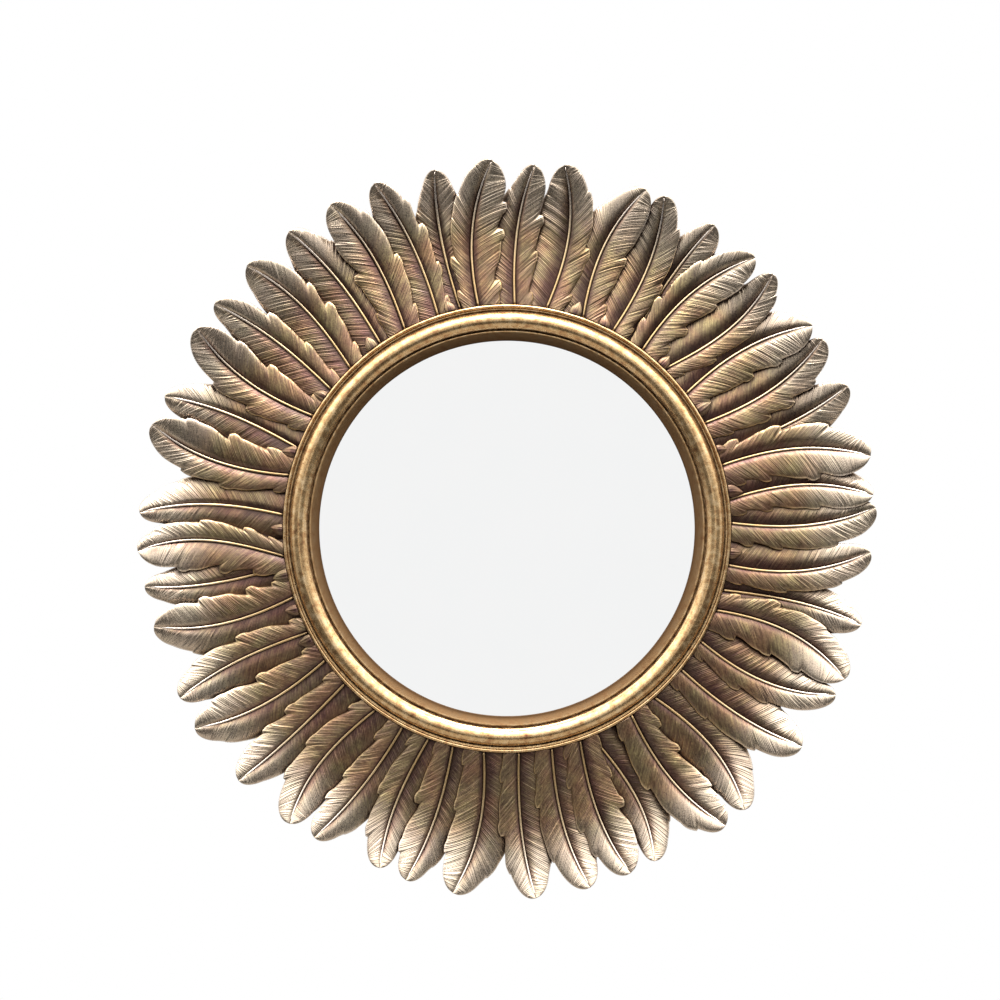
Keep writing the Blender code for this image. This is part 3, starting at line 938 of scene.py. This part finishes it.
# Ring moulding
# A ring turned and cast in resin, with a cove at the sight edge, a fat bead between two quirks and
# a thin lip over the roots of the feathers. It is gilded over red-brown clay and rubbed through.
SIGHT_RADIUS = 230 * MM
RING_BACK = 16.6 * MM
SIGHT_EDGE_HEIGHT = 3.6 * MM
COVE_WIDTH = 9 * MM
COVE_RISE = 7 * MM
INNER_FILLET_WIDTH = 2.6 * MM
QUIRK = 2.2 * MM
BEAD_RADIUS = 10.6 * MM
BEAD_CENTRE_RISE = 11.6 * MM
BEAD_UNDERCUT = radians(14)
OUTER_FILLET_WIDTH = 2.4 * MM
OUTER_FILLET_RISE = 10.4 * MM
LIP_RADIUS = 2.2 * MM
LIP_RISE = 12 * MM
EASED = 0.4 * MM
EASED_FALL = 0.3 * MM
INNER_FILLET_RISE = 0.1 * MM
COVE_STEPS = 10
BEAD_STEPS = 40
LIP_STEPS = 12
RING_TURNS = 360
COVE_EDGE_SHARE = 0.82


def arc(radius, height, size, start, end, steps):
    """Points of (radius, height) round a centre, from one angle to another, both ends kept."""
    turns = [start + (end - start) * step / steps for step in range(steps + 1)]
    return [(radius + size * cos(turn), height + size * sin(turn)) for turn in turns]


inner_quirk = SIGHT_RADIUS + COVE_WIDTH + INNER_FILLET_WIDTH
bead_centre = inner_quirk + QUIRK + BEAD_RADIUS * cos(BEAD_UNDERCUT)
outer_quirk = bead_centre + BEAD_RADIUS * cos(BEAD_UNDERCUT)
lip_centre = RING_OUTER_RADIUS - LIP_RADIUS
cove_top = RING_BACK + SIGHT_EDGE_HEIGHT + COVE_RISE
fillet_height = RING_BACK + OUTER_FILLET_RISE
cove = [
    (SIGHT_RADIUS + COVE_WIDTH * share, RING_BACK + SIGHT_EDGE_HEIGHT + COVE_RISE * share**2)
    for share in [step / COVE_STEPS for step in range(COVE_STEPS + 1)]
]
inner_fillet = [
    (inner_quirk - EASED, cove_top + INNER_FILLET_RISE),
    (inner_quirk, cove_top - EASED_FALL),
    (inner_quirk + QUIRK / 2, cove_top - QUIRK),
]
bead = arc(
    bead_centre,
    RING_BACK + BEAD_CENTRE_RISE,
    BEAD_RADIUS,
    pi + BEAD_UNDERCUT,
    -BEAD_UNDERCUT,
    BEAD_STEPS,
)
outer_fillet = [
    (outer_quirk + QUIRK / 2, fillet_height - QUIRK),
    (outer_quirk + QUIRK, fillet_height - EASED_FALL),
    (outer_quirk + QUIRK + EASED, fillet_height),
    (outer_quirk + QUIRK + OUTER_FILLET_WIDTH / 2, fillet_height + EASED_FALL),
    (lip_centre - LIP_RADIUS - EASED / 2, fillet_height - EASED_FALL),
]
lip = arc(lip_centre, RING_BACK + LIP_RISE, LIP_RADIUS, pi, 0, LIP_STEPS)
foot = [(RING_OUTER_RADIUS, RING_BACK), (SIGHT_RADIUS, RING_BACK)]
shape = turned_shape(cove + inner_fillet + bead + outer_fillet + lip + foot, RING_TURNS)

# The cove and the quirks are hollows. The material paints shade into them and dulls them.
hollow = shape.verts.layers.float.new("hollow")
for vertex in shape.verts:
    radius = Vector((vertex.co.x, vertex.co.z)).length
    past_quirks = (radius - inner_quirk, radius - outer_quirk)
    if radius < inner_quirk - QUIRK / 2:
        vertex[hollow] = 1 - (1 - COVE_EDGE_SHARE) * (radius - SIGHT_RADIUS) / COVE_WIDTH
    elif any(abs(past - QUIRK / 2) < QUIRK / 2 for past in past_quirks):
        vertex[hollow] = 1.0
mesh = mesh_of(shape, "gilded_ring")

# Antique gold over red-brown bole: soft warm metal, worn through in spots, with shade painted dark
# into the cove and the quirks.
WEAR = 9 * MM
PINHOLE = 1.6 * MM
PINHOLE_DEPTH = 0.2 * MM
gilding, surface = new_material("antique_gold_over_bole")
place = add(gilding, "ShaderNodeTexCoord").outputs["Object"]
clouds = add(
    gilding,
    "ShaderNodeTexNoise",
    {"Vector": place, "Scale": 1 / WEAR, "Detail": 6.0, "Roughness": 0.65},
)
pits = add(gilding, "ShaderNodeTexNoise", {"Vector": place, "Scale": 1 / PINHOLE, "Detail": 3.0})
gold = add(
    gilding,
    "ShaderNodeValToRGB",
    {"Fac": clouds.outputs["Fac"]},
    stops=((0.26, "8d5f45"), (0.38, "b68d61"), (0.5, "cfab7a"), (0.72, "e6caa0")),
).outputs["Color"]
worn = add(
    gilding,
    "ShaderNodeMapRange",
    {"Value": pits.outputs["Fac"], "From Min": 0.62, "From Max": 0.72},
).outputs[0]
coloured = add(
    gilding,
    "ShaderNodeMix",
    {0: worn, 6: gold, 7: linear("5a3426")},
    data_type="RGBA",
).outputs[2]
hollow = add(gilding, "ShaderNodeAttribute", attribute_name="hollow").outputs["Fac"]
# Painted shade: the cove and the quirks are darkened toward a dull brown
coloured = add(
    gilding,
    "ShaderNodeMix",
    {0: hollow, 6: coloured, 7: linear("594028")},
    data_type="RGBA",
).outputs[2]
gloss = add(
    gilding,
    "ShaderNodeMapRange",
    {
        "Value": clouds.outputs["Fac"],
        "From Min": 0.3,
        "From Max": 0.7,
        "To Min": 0.2,
        "To Max": 0.32,
    },
).outputs[0]
gloss = add(
    gilding,
    "ShaderNodeMath",
    {0: hollow, 1: 0.5, 2: gloss},
    operation="MULTIPLY_ADD",
).outputs[0]
grain = add(
    gilding,
    "ShaderNodeBump",
    {"Height": pits.outputs["Fac"], "Strength": 0.25, "Distance": PINHOLE_DEPTH},
).outputs[0]
links = gilding.node_tree.links
links.new(coloured, surface.inputs["Base Color"])
links.new(gloss, surface.inputs["Roughness"])
links.new(grain, surface.inputs["Normal"])
surface.inputs["Metallic"].default_value = 0.9
add_piece("gilded_ring", mesh, gilding, "antique_gold", "ring_moulding")

# Studio
# A grey floor well below, a large softbox high in front, and a white backdrop. A pale card round
# the camera is what the flat mirror shows.
FLOOR_HEIGHT = -1.3
FLOOR_RADIUS = 1.7
FLOOR_SIDES = 128
CARD_BRIGHTNESS = 0.962
BACKDROP_BRIGHTNESS = 0.95
SOFTBOX_PLACE = Vector((0.1, -1.2, 2.3))
SOFTBOX_SIZE = (1.6, 0.8)
SOFTBOX_WATTS = 78

# The camera stands where one pixel of the picture shows PIXEL of the feathers.
LENS = 85
SENSOR = 36
PICTURE_PIXELS = 1000
PIXEL = 1.2228 * MM
OBJECT_PLANE = -0.02
CAMERA_PIXELS_ASIDE = -7
CAMERA_PIXELS_UP = 28.5

shape = bmesh.new()
bmesh.ops.create_circle(shape, cap_ends=True, segments=FLOOR_SIDES, radius=FLOOR_RADIUS)
floor = bpy.data.objects.new("floor", mesh_of(shape, "floor", rounded=False))
floor.location.z = FLOOR_HEIGHT
bpy.context.scene.collection.objects.link(floor)

# Flat grey floor paint, without a sheen
pale, surface = new_material("pale_studio_floor")
surface.inputs["Base Color"].default_value = linear("8e8b87")
surface.inputs["Roughness"].default_value = 0.85
floor.data.materials.append(pale)

# The room as the metal reflects it: dark below and bright above, lit at both sides, pale behind
# the mirror, and with the card in front
world = bpy.data.worlds.new("studio")
bpy.context.scene.world = world
world.use_nodes = True
backdrop = world.node_tree.nodes["Background"]
aim = add(world, "ShaderNodeTexCoord").outputs["Generated"]
parts = add(world, "ShaderNodeSeparateXYZ", {0: aim})
card = add(
    world,
    "ShaderNodeMapRange",
    {"Value": parts.outputs["Y"], "From Min": -0.983, "From Max": -0.992},
).outputs[0]
above = add(
    world,
    "ShaderNodeMapRange",
    {
        "Value": parts.outputs["Z"],
        "From Min": -0.03,
        "From Max": 0.68,
        "To Min": 0.03,
        "To Max": 3.8,
    },
    interpolation_type="SMOOTHSTEP",
).outputs[0]
aside = add(world, "ShaderNodeMath", {0: parts.outputs["X"]}, operation="ABSOLUTE").outputs[0]
beside = add(
    world,
    "ShaderNodeMapRange",
    {"Value": aside, "From Min": 0.72, "From Max": 0.95, "To Max": 1.1},
).outputs[0]
level = add(
    world,
    "ShaderNodeMapRange",
    {"Value": parts.outputs["Z"], "From Min": -0.35, "From Max": 0.0},
).outputs[0]
beside = add(world, "ShaderNodeMath", {0: beside, 1: level}, operation="MULTIPLY").outputs[0]
room = add(world, "ShaderNodeMath", {0: above, 1: beside}, operation="MAXIMUM").outputs[0]
behind = add(
    world,
    "ShaderNodeMapRange",
    {"Value": parts.outputs["Y"], "From Min": -0.1, "From Max": 0.25},
).outputs[0]
seen = add(world, "ShaderNodeLightPath").outputs["Is Camera Ray"]
for where, brightness in ((card, CARD_BRIGHTNESS), (behind, BACKDROP_BRIGHTNESS), (seen, 1.0)):
    room = add(
        world, "ShaderNodeMix", {0: where, 2: room, 3: brightness}, data_type="FLOAT"
    ).outputs[0]
world.node_tree.links.new(room, backdrop.inputs["Strength"])
backdrop.inputs["Color"].default_value = (1, 1, 1, 1)

light = bpy.data.lights.new("softbox", "AREA")
light.shape = "RECTANGLE"
light.size, light.size_y = SOFTBOX_SIZE
light.energy = SOFTBOX_WATTS
softbox = bpy.data.objects.new("softbox", light)
softbox.location = SOFTBOX_PLACE
softbox.rotation_euler = (-SOFTBOX_PLACE).to_track_quat("-Z", "Y").to_euler()
bpy.context.scene.collection.objects.link(softbox)

camera_data = bpy.data.cameras.new("camera")
camera_data.lens = LENS
camera_data.sensor_width = SENSOR
camera = bpy.data.objects.new("camera", camera_data)
distance = LENS / SENSOR * PICTURE_PIXELS * PIXEL
camera.location = (
    CAMERA_PIXELS_ASIDE * PIXEL,
    OBJECT_PLANE - distance,
    CAMERA_PIXELS_UP * PIXEL,
)
camera.rotation_euler = (pi / 2, 0, 0)
bpy.context.scene.collection.objects.link(camera)
bpy.context.scene.camera = camera
bpy.context.scene.view_settings.view_transform = "Standard"
